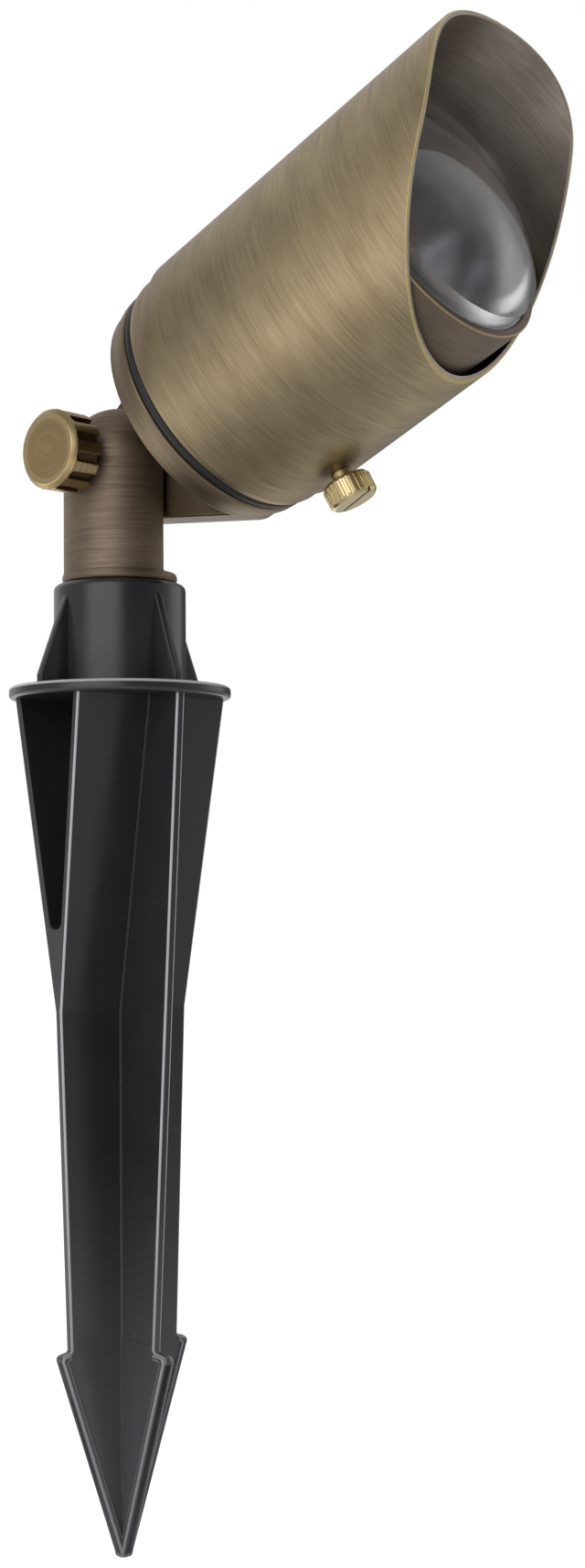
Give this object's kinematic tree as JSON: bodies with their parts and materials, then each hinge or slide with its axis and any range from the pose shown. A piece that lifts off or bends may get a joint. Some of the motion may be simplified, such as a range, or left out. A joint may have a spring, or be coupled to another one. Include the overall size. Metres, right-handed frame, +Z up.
{
  "type": "garden spike spotlight",
  "caption": "Adjustable brass spotlight with a sliding glare shroud and domed lens, on a half-lap knuckle screwed into a plastic ground spike.",
  "frame": {"origin": "on the spike's axis at ground level, the underside of the spike's flange", "axes": "+Z up along the spike, +X the way the head points seen from above, the knuckle's pivot along Y with its thumb knob on the -Y side"},
  "size_m": [0.1409, 0.062, 0.332],
  "materials": {
    "aged_brass": "brushed, aged brown patina",
    "polished_brass": "turned, unlacquered",
    "black_abs": "moulded, satin",
    "black_rubber": "moulded",
    "clear_silicone": "translucent moulded",
    "clear_glass": "pressed, polished",
    "reflector_glass": "facetted, mirror coated",
    "lamp_frosting": "frosted",
    "white_ceramic": "glazed steatite",
    "plated_steel": "zinc plated",
    "black_silicone": "extruded"
  },
  "bodies": {
    "spike": {"ground_spike": "black_abs"},
    "stem": {"knuckle_stem": "aged_brass", "knuckle_seal": "black_rubber"},
    "head": {"rear_cap": "aged_brass", "cap_o_ring": "black_rubber", "lamp_housing": "aged_brass", "lens_gasket": "clear_silicone", "glass_lens": "clear_glass", "lamp_reflector": "reflector_glass", "lamp_front_glass": "clear_glass", "lamp_capsule": "lamp_frosting", "lamp_base": "white_ceramic", "lamp_pins": "plated_steel", "lamp_socket": "white_ceramic", "socket_bracket": "plated_steel", "bracket_screws": "plated_steel", "socket_leads": "black_silicone"},
    "knob": {"thumb_knob": "polished_brass", "knob_stud": "polished_brass", "knob_washer": "plated_steel"},
    "shroud": {"glare_shroud": "aged_brass"},
    "shroud_screw": {"shroud_thumbscrew": "polished_brass"}
  },
  "joints": [
    {"name": "stem_turn", "type": "hinge", "parent": "spike", "child": "stem", "pos_m": [0, 0, 0.0272], "axis": [0, 0, 1], "range_deg": [-180, 180]},
    {"name": "head_tilt", "type": "hinge", "parent": "stem", "child": "head", "pos_m": [0, 0, 0.0562], "axis": [0, -1, 0], "range_deg": [-28, 75]},
    {"name": "knob_turn", "type": "hinge", "parent": "head", "child": "knob", "pos_m": [0, -0.0186, 0.0562], "axis": [0, -1, 0], "range_deg": [-20, 700]},
    {"name": "shroud_slide", "type": "slide", "parent": "head", "child": "shroud", "axis": [0.9175, 0, 0.3976], "range_m": [0, 0.018]},
    {"name": "shroud_screw_turn", "type": "hinge", "parent": "shroud", "child": "shroud_screw", "pos_m": [0.06183, 0.00769, 0.04681], "axis": [0.3901, 0.1935, -0.9002], "range_deg": [-20, 700]}
  ]
}
